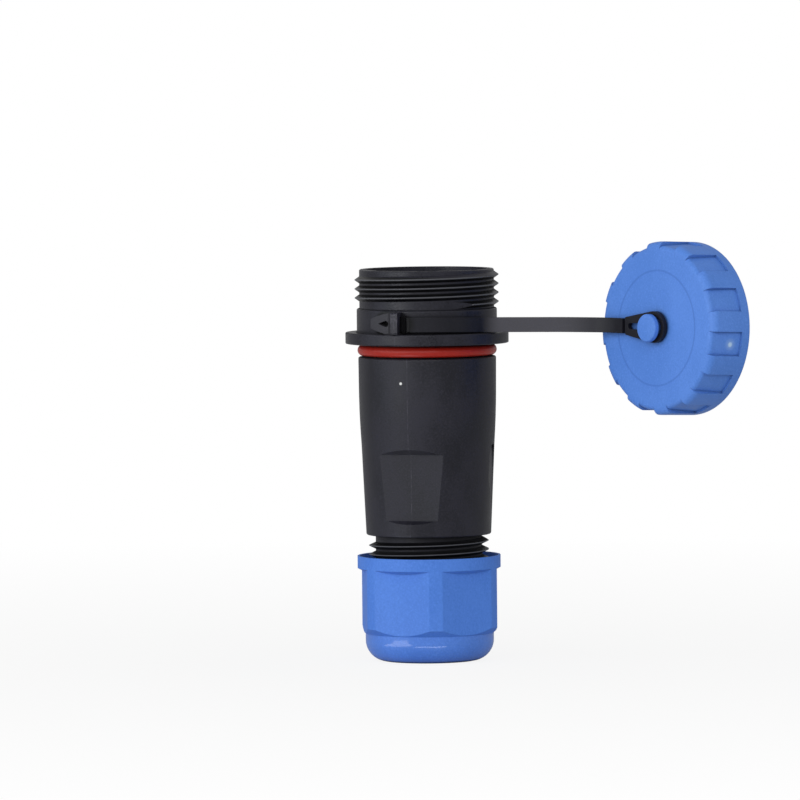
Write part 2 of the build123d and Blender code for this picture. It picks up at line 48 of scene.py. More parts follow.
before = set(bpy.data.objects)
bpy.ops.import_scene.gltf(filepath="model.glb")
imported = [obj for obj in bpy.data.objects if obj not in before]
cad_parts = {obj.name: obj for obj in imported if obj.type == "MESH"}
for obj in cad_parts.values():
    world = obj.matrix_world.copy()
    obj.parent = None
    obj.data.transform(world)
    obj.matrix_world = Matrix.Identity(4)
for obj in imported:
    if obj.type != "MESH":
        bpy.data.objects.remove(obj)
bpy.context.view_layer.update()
MM = 0.001

# Steps of a turned piece, the distance in millimetres under which its corners become one, and the
# angle in degrees past which an edge stays sharp
TURN_STEPS = 180
WELD = 0.001
SHARP_EDGE = 17

# Places of marks, in millimetres: the wear on the lug, the speck of dust on the back shell, the
# painted shade in the hole of the strap's end and the painted shade beside the lug
LUG_TOP = (-5.3, -12.6, 58.0)
SHELL_SPECK = (-4.47, -10.54, 46.74)
STRAP_END_HOLE = (-7.0, -9.35, 56.7)
LUG_SHADE = (-4.0, -11.6, 56.7)

# Crest radius of each thread and the heights it runs between, in millimetres
MATING_THREAD = (12.0, 58.85, 64.2)
GLAND_THREAD = (10.0, 14.0, 20.2)

# The strap's path in millimetres, as length and radius, left positive and none for a straight run.
# The first arc is the lead to the lug and the wrap round the collar.
STRAP_ROUTE = (
    (5.5 + 15.737, 12.28), (1.806, -2.3), (10.2, None), (3.848, -14.7), (3.1, None),
    (5.313, -8.6), (13.0, None),
)
# Distance between points of that path, and how far the strap drops as it leaves the collar
STRAP_STEP = 0.25
STRAP_SLACK = 0.27

# Lamps round the object: name, azimuth and height in degrees, size in metres, watts
LAMPS = (
    ("left", -75, 15, (0.5, 0.5), 1.4),
    ("left_front", -32, 22, (0.5, 0.5), 1.1),
    ("front", 0, 25, (0.5, 0.5), 1.7),
    ("low", -48, 4, (0.5, 0.1), 1.15),
    ("right_front", 42, 22, (0.5, 0.5), 0.3),
    ("right", 80, 12, (0.5, 0.5), 0.3),
)
LAMP_REACH = 0.95
# Beyond this azimuth a lamp is cooler
SIDE_AZIMUTH = 60
COOL_WHITE = (0.86, 0.93, 1.0)
# Colour of the two patches that gleam on the nut
WINDOW_WHITE = (0.9, 0.93, 1.0)


def srgb(red, green, blue):
    """A colour as a shader takes it, from the values a screen shows, 0 to 255."""
    def linear(value):
        share = value / 255
        return share / 12.92 if share <= 0.04045 else ((share + 0.055) / 1.055) ** 2.4
    return (linear(red), linear(green), linear(blue), 1.0)


def tint(name, description, red, green, blue):
    """A colour setting, with its default as a screen shows it."""
    return FloatVectorProperty(
        name=name, description=description, subtype="COLOR", size=4, min=0, max=1,
        default=srgb(red, green, blue))


def millimetres(name, description, default):
    """A length setting."""
    return FloatProperty(name=name, description=description, default=default)


def degrees(name, description, default):
    """An angle setting, with its default in degrees."""
    return FloatProperty(
        name=name, description=description, subtype="ANGLE", default=math.radians(default))


# Colours of marks and of painted shade and highlights, which no setting changes
SHADE = srgb(4, 4, 5)
DUST = srgb(235, 235, 232)
# Painted shade of the thread flanks and painted highlight of the thread crests
FLANK_SHADE = srgb(5, 5, 7)
CREST_HIGHLIGHT = srgb(88, 89, 94)
FACE_RING = srgb(60, 104, 190)
GATE_MARK = srgb(200, 230, 255)


class ReceptacleColours(PropertyGroup):
    """Colours of the mouldings, the seals and the contacts, each with the paler one of its flow."""

    black: tint("Black Moulding", "Glass-filled black of both shells", 26, 26, 34)
    black_pale: tint("Pale Flow", "Paler black where the melt has flowed", 39, 38, 48)
    blue: tint("Blue Moulding", "Blue of the nut", 75, 127, 219)
    blue_pale: tint("Pale Blue Flow", "Paler blue where the melt has flowed", 86, 138, 231)
    cap: tint("Cap Moulding", "Slightly paler blue of the dust cap", 83, 134, 221)
    cap_pale: tint("Pale Cap Flow", "Paler blue of the cap where the melt has flowed", 94, 144, 232)
    orange: tint("Ring Seal", "Orange-red of the flange's ring seal", 172, 35, 23)
    orange_pale: tint("Pale Ring Seal", "Paler orange-red of the ring seal", 176, 41, 28)
    strap: tint("Strap", "Black of the strap", 28, 28, 34)
    strap_pale: tint("Pale Strap Flow", "Paler black where the melt has flowed", 33, 33, 40)
    # Painted highlight: the strap's run between the collar and the cap is paler
    strap_run_highlight: tint("Strap Run", "Paler black between the collar and the cap", 78, 77, 83)
    insert: tint("Insert", "Black of the insert, its retainer and the slip washer", 38, 38, 41)
    insert_pale: tint("Pale Insert", "Paler black of the insert", 44, 44, 47)
    rubber: tint("Rubber", "Black of the cable seal and the cap's gasket", 40, 40, 42)
    rubber_pale: tint("Pale Rubber", "Paler black of the rubber", 50, 49, 50)
    brass: tint("Contacts", "Gold plating of the contacts", 226, 184, 104)
    brass_pale: tint("Pale Contacts", "Paler gold of the contacts", 236, 196, 120)


class ReceptacleNut(PropertyGroup):
    """Sizes of the gland nut, in millimetres."""

    height: millimetres("Height", "Of the whole nut", 17.6)
    rim: millimetres("Rim Radius", "Of the round rim above the flats", 11.93)
    rim_height: millimetres("Rim Height", "Of the round rim", 2.05)
    bore: millimetres("Bore Radius", "Of the hole for the gland's thread", 10.15)
    flat: millimetres("Flat Distance", "From the axis to each flat", 10.85)
    flat_runout: millimetres(
        "Flat Run-out", "Height over which a flat slopes out to the rim", 0.55)
    flat_turn: degrees("Flat Turn", "Turn of the hexagon about the axis", 5)
    dome: millimetres("Dome Radius", "Of the end below the flats", 10.7)
    dome_round: millimetres("Dome Round", "Radius of the end's corner", 3.5)


class ReceptacleCap(PropertyGroup):
    """Sizes and place of the dust cap, in millimetres."""

    radius: millimetres("Radius", "Outside the grip bars", 14.3)
    depth: millimetres("Depth", "From the face to the mouth", 7.8)
    edge: millimetres("Edge Round", "Radius of the face's edge", 1.3)
    bore: millimetres("Bore Radius", "Inside the cap", 12.15)
    knob: millimetres("Knob Radius", "Of the knob's head", 2.3)
    knob_height: millimetres("Knob Height", "Above the face", 2.35)
    grips: IntProperty(name="Recesses", description="Grip recesses round the side", default=12)
    grip_depth: millimetres("Recess Depth", "At the face", 0.72)
    grip_rise: millimetres("Recess Rise", "Of the floor towards the band", 0.35)
    grip_edge: millimetres("Recess Round", "Radius of the face's edge in the recesses", 0.8)
    grip_width: millimetres("Recess Width", "Of each grip recess", 4.28)
    grip_phase: degrees("Recess Phase", "Turn of the first recess", 9.0)
    band: millimetres("Band", "Height of the plain band at the mouth", 1.5)
    ring: millimetres("Ring Radius", "Of the faint ring on the face", 9.5)
    gate: FloatVectorProperty(
        name="Gate", description="Place of the gate's mark, in the cap's frame", size=3,
        default=(13.3, -2.25, -4.2))
    face: FloatVectorProperty(
        name="Face Centre", description="Middle of the cap's face", size=3, subtype="TRANSLATION",
        default=(0.037704636, -0.018209712, 0.055897285))
    turn: degrees("Turn", "Of the cap's face about the vertical", 50.4)
    lean: degrees("Lean", "How far the cap's face looks up", 2.5)


class ReceptacleStrap(PropertyGroup):
    """Sizes of the strap, in millimetres along its path."""

    length: millimetres("Length", "From the lug to the head", 41.0)
    width: millimetres("Width", "Of the strap", 2.45)
    thickness: millimetres("Thickness", "Of the strap", 0.9)
    reach: millimetres("Reach", "From the strap's end to the eye", 7.5)
    eye: millimetres("Eye Radius", "Outside the eye", 2.6)
    hole: millimetres("Eye Hole Radius", "Of the hole round the knob", 1.85)
    eye_thickness: millimetres("Eye Thickness", "Of the eye's plate", 0.75)
    eye_shift: millimetres("Eye Shift", "Of the eye beyond the knob", 0.36)
    head_width: millimetres("Head Width", "Of the plate where it starts", 3.0)
    dip: millimetres("Dip", "Of the strap's face beside the lug", 0.55)
    collar: millimetres("Wrap Radius", "Of the strap round the collar", 12.28)
    wrap_start: degrees("Wrap Start", "Azimuth at which the strap leaves the lug", -28.42)
    lead: millimetres("Lead", "Path before the lug, for the tail", 5.5)
    height: millimetres("Height", "Of the strap on the collar", 56.53)
    drop: millimetres("Drop", "Of the strap at the cap", 0.42)


class ReceptacleStage(PropertyGroup):
    """Place and view of the camera."""

    distance: FloatProperty(
        name="Distance", description="From the camera to the point it looks at",
        subtype="DISTANCE", default=1.5, min=0.3, max=5)
    elevation: degrees("Elevation", "How far the camera stands above the horizon", 3.0)
    roll: degrees("Roll", "How far the camera is turned about its own line of sight", 0.55)
    frame_width: FloatProperty(
        name="Frame Width", description="Width that the frame takes in, at the receptacle",
        subtype="DISTANCE", default=0.13333, min=0.01)


def colours():
    return bpy.context.scene.receptacle_colours


# Modelling helpers. Pieces are modelled in millimetres and brought to metres by settle().

def clear_selection():
    if bpy.context.mode != "OBJECT":
        bpy.ops.object.mode_set(mode="OBJECT")
    bpy.ops.object.select_all(action="DESELECT")


def make_active(piece):
    clear_selection()
    piece.select_set(True)
    bpy.context.view_layer.objects.active = piece


def edit(piece):
    make_active(piece)
    bpy.ops.object.mode_set(mode="EDIT")
    bpy.ops.mesh.select_mode(type="VERT")
    bpy.ops.mesh.select_all(action="SELECT")


def new_piece(name):
    piece = bpy.context.active_object
    piece.name = name
    piece.data.name = name
    return piece


def turned(name, corners):
    """Turns a closed outline of (radius, height) corners about Z."""
    clear_selection()
    bpy.ops.mesh.primitive_circle_add(vertices=3, radius=1.0)
    piece = new_piece(name)
    edit(piece)
    bpy.ops.mesh.merge(type="CENTER")
    bpy.ops.transform.translate(value=(corners[0][0], 0, corners[0][1]))
    for here, there in zip(corners, corners[1:] + corners[:1]):
        step = (there[0] - here[0], 0, there[1] - here[1])
        bpy.ops.mesh.extrude_region_move(TRANSFORM_OT_translate={"value": step})
    bpy.ops.mesh.select_all(action="SELECT")
    bpy.ops.mesh.remove_doubles(threshold=WELD)
    bpy.ops.mesh.spin(steps=TURN_STEPS, angle=math.tau, center=(0, 0, 0), axis=(0, 0, 1))
    bpy.ops.mesh.select_all(action="SELECT")
    bpy.ops.mesh.remove_doubles(threshold=WELD)
    bpy.ops.mesh.delete_loose()
    bpy.ops.mesh.select_all(action="SELECT")
    bpy.ops.mesh.normals_make_consistent(inside=False)
    bpy.ops.object.mode_set(mode="OBJECT")
    return piece


def arc(centre, radius, start, end, steps):
    """Corners of an arc in an outline, from one angle to another in degrees."""
    turns = [math.radians(start + (end - start) * k / steps) for k in range(steps + 1)]
    return [(centre[0] + radius * math.cos(t), centre[1] + radius * math.sin(t)) for t in turns]


def apply_modifiers(piece):
    make_active(piece)
    for modifier in list(piece.modifiers):
        bpy.ops.object.modifier_apply(modifier=modifier.name)


def combine(piece, other, operation):
    """Cuts the other solid from the piece, or joins it on, and uses it up."""
    boolean = piece.modifiers.new("Combine", "BOOLEAN")
    boolean.operation = operation
    boolean.solver = "EXACT"
    boolean.object = other
    apply_modifiers(piece)
    bpy.data.objects.remove(other)
    return piece


def join(pieces):
    make_active(pieces[0])
    for piece in pieces:
        piece.select_set(True)
    bpy.ops.object.join()
    return pieces[0]


def hull(name, pieces):
    """Stretches one skin over several solids."""
    piece = join(pieces)
    piece.name = name
    edit(piece)
    bpy.ops.mesh.convex_hull()
    bpy.ops.object.mode_set(mode="OBJECT")
    return piece


def smooth(piece):
    """Shades the piece smooth except over its sharp edges."""
    make_active(piece)
    bpy.ops.object.shade_smooth_by_angle(angle=math.radians(SHARP_EDGE))


def settle(piece, place=Matrix.Identity(4)):
    """Brings a piece to its place in metres, with its object at the origin."""
    make_active(piece)
    piece.matrix_world = place @ Matrix.Scale(MM, 4)
    bpy.ops.object.transform_apply(location=True, rotation=True, scale=True)


def finish_piece(piece, material, body=None, nodes=()):
    piece.data.materials.clear()
    piece.data.materials.append(material)
    if body:
        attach(piece, body)
    if nodes:
        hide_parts(*nodes)


# Shader helpers

def new_material(name):
    material = bpy.data.materials.new(name)
    material.use_nodes = True
    tree = material.node_tree
    tree.nodes.clear()
    output = tree.nodes.new("ShaderNodeOutputMaterial")
    shader = tree.nodes.new("ShaderNodeBsdfPrincipled")
    tree.links.new(shader.outputs[0], output.inputs["Surface"])
    return material, tree, shader


def shader_of(material):
    return material.node_tree.nodes["Principled BSDF"]


def object_place(tree):
    return tree.nodes.new("ShaderNodeTexCoord").outputs["Object"]


def object_parts(tree):
    """The X, Y and Z of Object coordinates."""
    split = tree.nodes.new("ShaderNodeSeparateXYZ")
    tree.links.new(object_place(tree), split.inputs[0])
    return split.outputs


def put(tree, kind, **sockets):
    """A node of a kind, with some of its sockets set."""
    node = tree.nodes.new(kind)
    for name, value in sockets.items():
        node.inputs[name.replace("_", " ")].default_value = value
    return node


def maths(tree, operation, first, second=None):
    """A Math node whose inputs are numbers or other nodes' outputs."""
    node = tree.nodes.new("ShaderNodeMath")
    node.operation = operation
    for socket, value in zip(node.inputs, (first, second)):
        if isinstance(value, (int, float)):
            socket.default_value = value
        elif value is not None:
            tree.links.new(value, socket)
    return node.outputs[0]


def ranged(tree, value, low, high, to_low=0.0, to_high=1.0):
    """A Map Range node that runs smoothly from one end to the other."""
    node = tree.nodes.new("ShaderNodeMapRange")
    node.interpolation_type = "SMOOTHSTEP"
    limits = {"From Min": low, "From Max": high, "To Min": to_low, "To Max": to_high}
    for name, number in limits.items():
        if isinstance(number, (int, float)):
            node.inputs[name].default_value = number
        else:
            tree.links.new(number, node.inputs[name])
    tree.links.new(value, node.inputs["Value"])
    return node.outputs[0]


def blended(tree, share, first, second):
    """A colour Mix node; each colour is a value or another node's output."""
    node = tree.nodes.new("ShaderNodeMix")
    node.data_type = "RGBA"
    tree.links.new(share, node.inputs["Factor"])
    for socket, colour in ((node.inputs[6], first), (node.inputs[7], second)):
        if isinstance(colour, bpy.types.NodeSocket):
            tree.links.new(colour, socket)
        else:
            socket.default_value = colour
    return node.outputs[2]


def new_group(name, inputs, outputs):
    group = bpy.data.node_groups.new(name, "ShaderNodeTree")
    """An empty shader group, from its inputs as name, kind and default, and its outputs."""
    kinds = {"value": "NodeSocketFloat", "vector": "NodeSocketVector"}
    for label, kind, value in inputs:
        socket = group.interface.new_socket(label, in_out="INPUT", socket_type=kinds[kind])
        if value is not None:
            socket.default_value = value
    for label, kind in outputs:
        group.interface.new_socket(label, in_out="OUTPUT", socket_type=kinds[kind])
    given = group.nodes.new("NodeGroupInput")
    result = group.nodes.new("NodeGroupOutput")
    return group, given.outputs, result.inputs


def moulded_grain_group():
    """Spark-eroded grain, slow flow marks and paler edges, over Object coordinates."""
    group = bpy.data.node_groups.get("Moulded Grain")
    if group:
        return group
    group, given, result = new_group("Moulded Grain", (
        ("Soft Normal", "vector", None),
        ("Grain Size", "value", 6000.0),
        ("Flow Size", "value", 220.0),
        ("Grain Depth", "value", 0.25),
        ("Roughness", "value", 0.42),
        ("Roughness Spread", "value", 0.1),
    ), (("Flow", "value"), ("Fleck", "value"), ("Edge", "value"), ("Roughness", "value"),
        ("Normal", "vector")))
    nodes, links = group.nodes, group.links
    place = object_place(group)
    stretch = put(group, "ShaderNodeMapping", Scale=(1.0, 1.0, 0.45))
    grain = put(group, "ShaderNodeTexNoise", Detail=3.0)
    flow = put(group, "ShaderNodeTexNoise", Detail=2.0)
    links.new(place, stretch.inputs["Vector"])
    links.new(place, grain.inputs["Vector"])
    links.new(stretch.outputs["Vector"], flow.inputs["Vector"])
    links.new(given["Grain Size"], grain.inputs["Scale"])
    links.new(given["Flow Size"], flow.inputs["Scale"])
    bump = put(group, "ShaderNodeBump", Distance=0.00003)
    links.new(given["Grain Depth"], bump.inputs["Strength"])
    links.new(grain.outputs[0], bump.inputs["Height"])
    links.new(given["Soft Normal"], bump.inputs["Normal"])
    mottle = maths(group, "MULTIPLY", maths(group, "ADD", grain.outputs[0], flow.outputs[0]), 0.5)
    low = maths(group, "SUBTRACT", given["Roughness"], given["Roughness Spread"])
    high = maths(group, "ADD", given["Roughness"], given["Roughness Spread"])
    facing = nodes.new("ShaderNodeVectorMath")
    facing.operation = "DOT_PRODUCT"
    links.new(given["Soft Normal"], facing.inputs[0])
    links.new(nodes.new("ShaderNodeNewGeometry").outputs["Normal"], facing.inputs[1])
    links.new(ranged(group, mottle, 0.36, 0.64), result["Flow"])
    links.new(ranged(group, grain.outputs[0], 0.55, 0.75), result["Fleck"])
    links.new(ranged(group, facing.outputs["Value"], 0.985, 0.8), result["Edge"])
    links.new(ranged(group, mottle, 0.3, 0.7, low, high), result["Roughness"])
    links.new(bump.outputs[0], result["Normal"])
    return group


def parting_line_group():
    """A mask along the mould's parting plane, which holds the axis and faces one azimuth."""
    group = bpy.data.node_groups.get("Parting Line")
    if group:
        return group
    group, given, result = new_group("Parting Line", (
        ("Azimuth", "value", 0.0),
        ("Half Width", "value", 0.00012),
    ), (("Mask", "value"),))
    x, y, _ = object_parts(group)
    broken = put(group, "ShaderNodeTexNoise", Scale=900.0, Detail=1.0)
    group.links.new(object_place(group), broken.inputs["Vector"])
    across = maths(group, "ADD",
                   maths(group, "MULTIPLY", x, maths(group, "COSINE", given["Azimuth"])),
                   maths(group, "MULTIPLY", y, maths(group, "SINE", given["Azimuth"])))
    distance = maths(group, "DIVIDE", maths(group, "ABSOLUTE", across), given["Half Width"])
    line = ranged(group, distance, 1.0, 0.3)
    gaps = ranged(group, broken.outputs[0], 0.42, 0.62, 0.15, 1.0)
    group.links.new(maths(group, "MULTIPLY", line, gaps), result["Mask"])
    return group


def near_mask(tree, place, outer, inner):
    """A mask that is full near a place and fades out; the place and radii are in millimetres."""
    away = tree.nodes.new("ShaderNodeVectorMath")
    away.operation = "DISTANCE"
    away.inputs[1].default_value = Vector(place) * MM
    tree.links.new(object_place(tree), away.inputs[0])
    return ranged(tree, away.outputs["Value"], outer * MM, inner * MM)


def scratches(tree):
    """Specks of wear, a third of a millimetre across."""
    specks = put(tree, "ShaderNodeTexNoise", Scale=2600.0, Detail=2.0)
    tree.links.new(object_place(tree), specks.inputs["Vector"])
    return ranged(tree, specks.outputs[0], 0.46, 0.6)


def moulded_material(name, base, pale, roughness, spread=0.08, grain_size=6000.0, depth=0.25,
                     flow_size=220.0, specular=0.32, edge_radius=0.1, edge_pale=0.25, fleck=0.15,
                     parting=None, scuff=None, shade_reach=0.6, shade_strength=0.7):
    """A moulded plastic: two close colours along the flow, grain, and edges paled by wear and
    painted highlight.

    Its edge radius and the reach of its painted crevice shade are in millimetres, and its parting
    line in degrees.
    """
    material, tree, shader = new_material(name)
    grain = put(tree, "ShaderNodeGroup")
    grain.node_tree = moulded_grain_group()
    for label, value in (
            ("Grain Size", grain_size), ("Flow Size", flow_size), ("Grain Depth", depth),
            ("Roughness", roughness), ("Roughness Spread", spread)):
        grain.inputs[label].default_value = value
    soft = tree.nodes.new("ShaderNodeBevel")
    soft.samples = 4
    soft.inputs["Radius"].default_value = edge_radius * MM
    tree.links.new(soft.outputs[0], grain.inputs["Soft Normal"])
    colour = blended(tree, grain.outputs["Flow"], base, pale)
    lighter = tuple(min(1.0, channel * 1.6 + 0.012) for channel in pale[:3]) + (1.0,)
    # Paler edges, partly wear and partly painted highlight, with paler flecks of the grain
    marks = maths(tree, "ADD", maths(tree, "MULTIPLY", grain.outputs["Edge"], edge_pale),
                  maths(tree, "MULTIPLY", grain.outputs["Fleck"], fleck))
    if parting is not None:
        line = put(tree, "ShaderNodeGroup")
        line.node_tree = parting_line_group()
        line.inputs["Azimuth"].default_value = math.radians(parting)
        marks = maths(tree, "ADD", marks, maths(tree, "MULTIPLY", line.outputs["Mask"], 0.8))
    if scuff is not None:
        near = near_mask(tree, scuff, outer=2.2, inner=0.8)
        marks = maths(tree, "ADD", marks, maths(tree, "MULTIPLY", near, scratches(tree)))
    colour = blended(tree, marks, colour, lighter)
    # Painted shade: a darker and rougher colour where ambient occlusion finds a crevice or a part
    # close by
    inner = tree.nodes.new("ShaderNodeAmbientOcclusion")
    inner.samples = 8
    inner.inputs["Distance"].default_value = shade_reach * MM
    shade_mask = maths(tree, "MULTIPLY", ranged(tree, inner.outputs["AO"], 0.85, 0.3), shade_strength)
    shaded_colour = tuple(channel * 0.25 for channel in base[:3]) + (1.0,)
    colour = blended(tree, shade_mask, colour, shaded_colour)
    tree.links.new(colour, shader.inputs["Base Color"])
    shader.inputs["Specular IOR Level"].default_value = specular
    rough = ranged(tree, shade_mask, 0.0, 1.0, grain.outputs["Roughness"], 0.95)
    tree.links.new(rough, shader.inputs["Roughness"])
    tree.links.new(grain.outputs["Normal"], shader.inputs["Normal"])
    shader.inputs["Specular Tint"].default_value = (0.95, 0.97, 1.0, 1)
    return material


def tinge(material, mask, colour):
    """Lays another colour over the base colour, where the mask is."""
    tree = material.node_tree
    base = shader_of(material).inputs["Base Color"]
    tree.links.new(blended(tree, mask, base.links[0].from_socket, colour), base)


def patch(material, place, colour, outer, inner, strength):
    """A round patch of another colour, in millimetres."""
    tree = material.node_tree
    tinge(material, maths(tree, "MULTIPLY", near_mask(tree, place, outer, inner), strength), colour)


def thread_light_and_shade(material, crest, low, high):
    """Painted shade on the flanks and a painted highlight on the crest of a thread between two
    heights, all in millimetres.
    """
    tree = material.node_tree
    x, y, z = object_parts(tree)
    facing = tree.nodes.new("ShaderNodeSeparateXYZ")
    tree.links.new(tree.nodes.new("ShaderNodeTexCoord").outputs["Normal"], facing.inputs[0])
    squared = maths(tree, "ADD", maths(tree, "MULTIPLY", x, x), maths(tree, "MULTIPLY", y, y))
    zone = maths(tree, "MULTIPLY", ranged(tree, z, (low - 0.1) * MM, low * MM),
                 ranged(tree, z, (high + 0.1) * MM, high * MM))
    flank_shade_mask = ranged(tree, maths(tree, "ABSOLUTE", facing.outputs["Z"]), 0.15, 0.4)
    crest_highlight_mask = ranged(tree, maths(tree, "SQRT", squared), (crest - 0.16) * MM, (crest - 0.06) * MM)
    tinge(material, maths(tree, "MULTIPLY", flank_shade_mask, zone), FLANK_SHADE)
    tinge(material, maths(tree, "MULTIPLY", crest_highlight_mask, zone), CREST_HIGHLIGHT)


def dress(node, material):
    """Gives a carried-over solid its finish."""
    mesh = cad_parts[node].data
    mesh.materials.clear()
    mesh.materials.append(material)


class RECEPTACLE_OT_shells(Operator):
    """Finishes the front shell and the back shell"""

    bl_idname = "receptacle.shells"
    bl_label = "Shells"

    def execute(self, context):
        black, pale = colours().black, colours().black_pale
        # Both shells reach far with their painted shade, which darkens the thread valleys
        front = moulded_material(
            "black_front", black, pale, 0.36, spread=0.12, grain_size=3800.0, depth=0.5,
            edge_pale=0.8, parting=-23.5, scuff=LUG_TOP, shade_reach=1.1, shade_strength=0.85)
        back = moulded_material(
            "black_back", black, pale, 0.42, spread=0.12, grain_size=3800.0, depth=0.5,
            edge_pale=0.5, parting=-17.4, shade_reach=1.3, shade_strength=0.9)
        # Painted shade on the collar, seen through the hole in the strap's end
        patch(front, STRAP_END_HOLE, SHADE, outer=2.4, inner=1.8, strength=0.9)
        patch(back, SHELL_SPECK, DUST, outer=0.3, inner=0.14, strength=1.0)
        # Painted shade on the thread flanks and a painted highlight on the crests
        thread_light_and_shade(front, *MATING_THREAD)
        thread_light_and_shade(back, *GLAND_THREAD)
        dress("front_shell", front)
        dress("back_shell", back)
        dress("clamp_cage", back)
        return {"FINISHED"}


class RECEPTACLE_OT_inside(Operator):
    """Finishes the insert, the contacts and the seals"""

    bl_idname = "receptacle.inside"
    bl_label = "Insert, Contacts and Seals"

    def execute(self, context):
        tints = colours()
        matt = moulded_material("insert_moulding", tints.insert, tints.insert_pale, 0.6)
        rubber = moulded_material("seal_rubber", tints.rubber, tints.rubber_pale, 0.7)
        orange = moulded_material(
            "ring_silicone", tints.orange, tints.orange_pale, 0.38, grain_size=3500.0, depth=0.15)
        brass = moulded_material("contact_plating", tints.brass, tints.brass_pale, 0.22)
        shader_of(brass).inputs["Metallic"].default_value = 1.0
        for node in ("contact_insert", "insert_retainer", "slip_washer"):
            dress(node, matt)
        for node in ("cable_seal", "cap_gasket"):
            dress(node, rubber)
        dress("flange_o_ring", orange)
        for number in range(1, 8):
            dress("contact_%d" % number, brass)
        return {"FINISHED"}


class RECEPTACLE_OT_nut(Operator):
    """Models the gland nut: a turned moulding with six flats that run out under its rim"""

    bl_idname = "receptacle.nut"
    bl_label = "Gland Nut"

    def execute(self, context):
        sizes = context.scene.receptacle_nut
        nut = turned("gland_nut_moulding", self.outline(sizes))
        combine(nut, self.flats(sizes), "DIFFERENCE")
        smooth(nut)
        settle(nut)
        finish_piece(nut, self.finish(sizes), "gland_nut", ["gland_nut"])
        return {"FINISHED"}

    def outline(self, sizes):
        """The dome, the shoulder, the rim with its mouth, and the bore down to the inner cone."""
        dome = arc((sizes.dome - sizes.dome_round, sizes.dome_round), sizes.dome_round, -90, 0, 12)
        hole, hole_depth = 6.0, 1.4
        cone, floor = 8.4, 4.4
        shoulder, land = 4.62, 5.68
        lip, lip_foot, mouth = sizes.rim - 0.4, sizes.rim - 0.55, sizes.height - 1.0
        return ([(hole, 0.0)] + dome
                + [(sizes.dome, shoulder), (sizes.rim, land), (sizes.rim, sizes.height),
                   (lip, sizes.height), (lip_foot, mouth), (sizes.bore, mouth),
                   (sizes.bore, floor), (cone, floor), (hole, hole_depth)])

    def flats(self, sizes):
        """A sleeve outside the hexagon, whose upper end slopes down to the flats."""
        slope = sizes.flat_runout / (sizes.rim - sizes.flat)
        top = sizes.height - sizes.rim_height
        inner, outer, below = 9, 18, -2

        def height(radius):
            return top + (radius - sizes.rim) * slope

        sleeve = turned("flats", [
            (0, below), (outer, below), (outer, height(outer)), (inner, height(inner)),
            (0, height(inner))])
        clear_selection()
        bpy.ops.mesh.primitive_cylinder_add(
            vertices=6, radius=sizes.flat / math.cos(math.radians(30)), depth=60,
            rotation=(0, 0, sizes.flat_turn))
        return combine(sleeve, new_piece("hexagon"), "DIFFERENCE")

    def finish(self, sizes):
        """Satin flats above a glossier dome."""
        material = moulded_material(
            "blue_nut", colours().blue, colours().blue_pale, 0.55, specular=0.25,
            edge_radius=0.15, edge_pale=0.12, grain_size=3000.0, depth=0.8, fleck=0.12,
            flow_size=120.0, shade_reach=0.5)
        tree = material.node_tree
        shader = shader_of(material)
        height = object_parts(tree)["Z"]
        shader.inputs["Coat Roughness"].default_value = 0.06
        gloss = ranged(tree, height, 4.8 * MM, 4.5 * MM, 0.0, 0.6)
        tree.links.new(gloss, shader.inputs["Coat Weight"])
        return material


def cap_place(sizes):
    """The cap's frame: across its face, up its face, and out of it."""
    across = Vector((math.cos(sizes.turn), -math.sin(sizes.turn), 0))
    level = Vector((-math.sin(sizes.turn), -math.cos(sizes.turn), 0))
    outward = level * math.cos(sizes.lean) + Vector((0, 0, math.sin(sizes.lean)))
    place = Matrix((across, outward.cross(across), outward)).transposed().to_4x4()
    place.translation = Vector(sizes.face)
    return place


